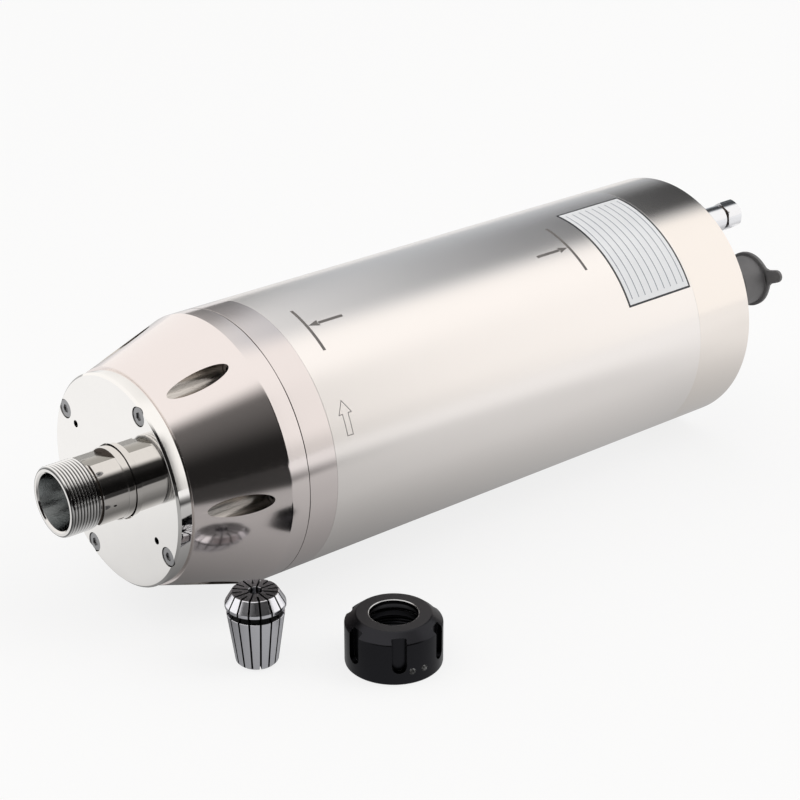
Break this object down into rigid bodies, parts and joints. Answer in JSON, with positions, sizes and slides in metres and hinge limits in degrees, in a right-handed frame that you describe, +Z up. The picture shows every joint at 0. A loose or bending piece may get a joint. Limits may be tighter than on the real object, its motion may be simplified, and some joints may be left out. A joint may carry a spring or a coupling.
{
  "type": "motor spindle",
  "caption": "Water-cooled motor spindle with a smooth round steel body, tapered nose and threaded collet nose; its collet and nut stand beside it.",
  "frame": {"origin": "on the spindle axis, midway along the zone where a clamp grips the tube", "axes": "+X along the spindle axis to the rear end, so the tool nose points to -X; +Z up as the spindle lies on its side"},
  "size_m": [0.3972, 0.194, 0.125],
  "materials": {
    "brushed_tube": "fine brushed along the tube",
    "ground_ring": "fine turned",
    "polished_nose": "turned and polished",
    "polished_flange": "mirror polished face",
    "screw_steel": "dull grey screws",
    "rear_ring_steel": "fine turned",
    "rear_plate": "turned face",
    "seal_rubber": "matt black",
    "jacket_aluminium": "machined",
    "lamination_steel": "stacked sheet",
    "winding_varnish": "varnished copper, potted ends",
    "wire_sleeve": "sleeved wire",
    "bearing_steel": "ground",
    "cage_resin": "resin fabric",
    "shaft_steel": "ground",
    "fitting_nickel": "nickel plated",
    "connector_resin": "black moulding",
    "pin_brass": "turned contact",
    "cap_rubber": "dark grey rubber",
    "collet_steel": "ground spring steel",
    "black_nut": "black oxide, satin"
  },
  "bodies": {
    "housing": {"housing_tube": "brushed_tube", "front_ring": "ground_ring", "nose_cone": "polished_nose", "nose_flange": "polished_flange", "flange_screws": "screw_steel", "cone_screws": "screw_steel", "rear_housing": "rear_ring_steel", "rear_cover": "rear_plate", "rear_cover_screws": "screw_steel", "seal_rings": "seal_rubber", "water_jacket": "jacket_aluminium", "stator_core": "lamination_steel", "stator_windings": "winding_varnish", "motor_leads": "wire_sleeve", "front_outer_rings": "bearing_steel", "front_outer_spacer": "bearing_steel", "rear_outer_rings": "bearing_steel", "rear_outer_spacer": "bearing_steel", "rear_bearing_sleeve": "shaft_steel", "rear_clamp_ring": "shaft_steel", "preload_disc_spring": "shaft_steel", "water_fittings": "fitting_nickel", "water_fitting_nuts": "fitting_nickel", "connector_shell": "fitting_nickel", "connector_insert": "connector_resin", "connector_pins": "pin_brass", "connector_screws": "screw_steel"},
    "rotor": {"spindle_shaft": "shaft_steel", "rotor_core": "lamination_steel", "rotor_end_rings": "jacket_aluminium", "front_inner_rings": "bearing_steel", "front_inner_spacer": "bearing_steel", "front_lock_nut": "shaft_steel", "labyrinth_ring": "shaft_steel", "rear_inner_rings": "bearing_steel", "rear_inner_spacer": "bearing_steel", "rear_lock_nut": "shaft_steel"},
    "front_ball_set": {"front_balls": "bearing_steel", "front_cages": "cage_resin"},
    "rear_ball_set": {"rear_balls": "bearing_steel", "rear_cages": "cage_resin"},
    "connector_cap": {"connector_cap": "cap_rubber"},
    "collet": {"collet": "collet_steel"},
    "collet_nut": {"collet_nut": "black_nut"}
  },
  "joints": [
    {"name": "spindle_spin", "type": "hinge", "parent": "housing", "child": "rotor", "pos_m": [0, 0, 0], "axis": [1, 0, 0], "continuous": true},
    {"name": "front_ball_orbit", "type": "hinge", "parent": "housing", "child": "front_ball_set", "pos_m": [-0.1305, 0, 0], "axis": [1, 0, 0], "continuous": true},
    {"name": "rear_ball_orbit", "type": "hinge", "parent": "housing", "child": "rear_ball_set", "pos_m": [0.129, 0, 0], "axis": [1, 0, 0], "continuous": true},
    {"name": "cap_pull", "type": "slide", "parent": "housing", "child": "connector_cap", "axis": [1, 0, 0], "range_m": [0, 0.03]},
    {"name": "collet_lift", "type": "slide", "parent": "housing", "child": "collet", "axis": [0, 0, 1], "range_m": [0, 0.15]},
    {"name": "nut_lift", "type": "slide", "parent": "housing", "child": "collet_nut", "axis": [0, 0, 1], "range_m": [0, 0.15]}
  ],
  "couplings": [
    {"joint": "front_ball_orbit", "follows": "spindle_spin", "ratio": 0.43},
    {"joint": "rear_ball_orbit", "follows": "spindle_spin", "ratio": 0.4223}
  ]
}
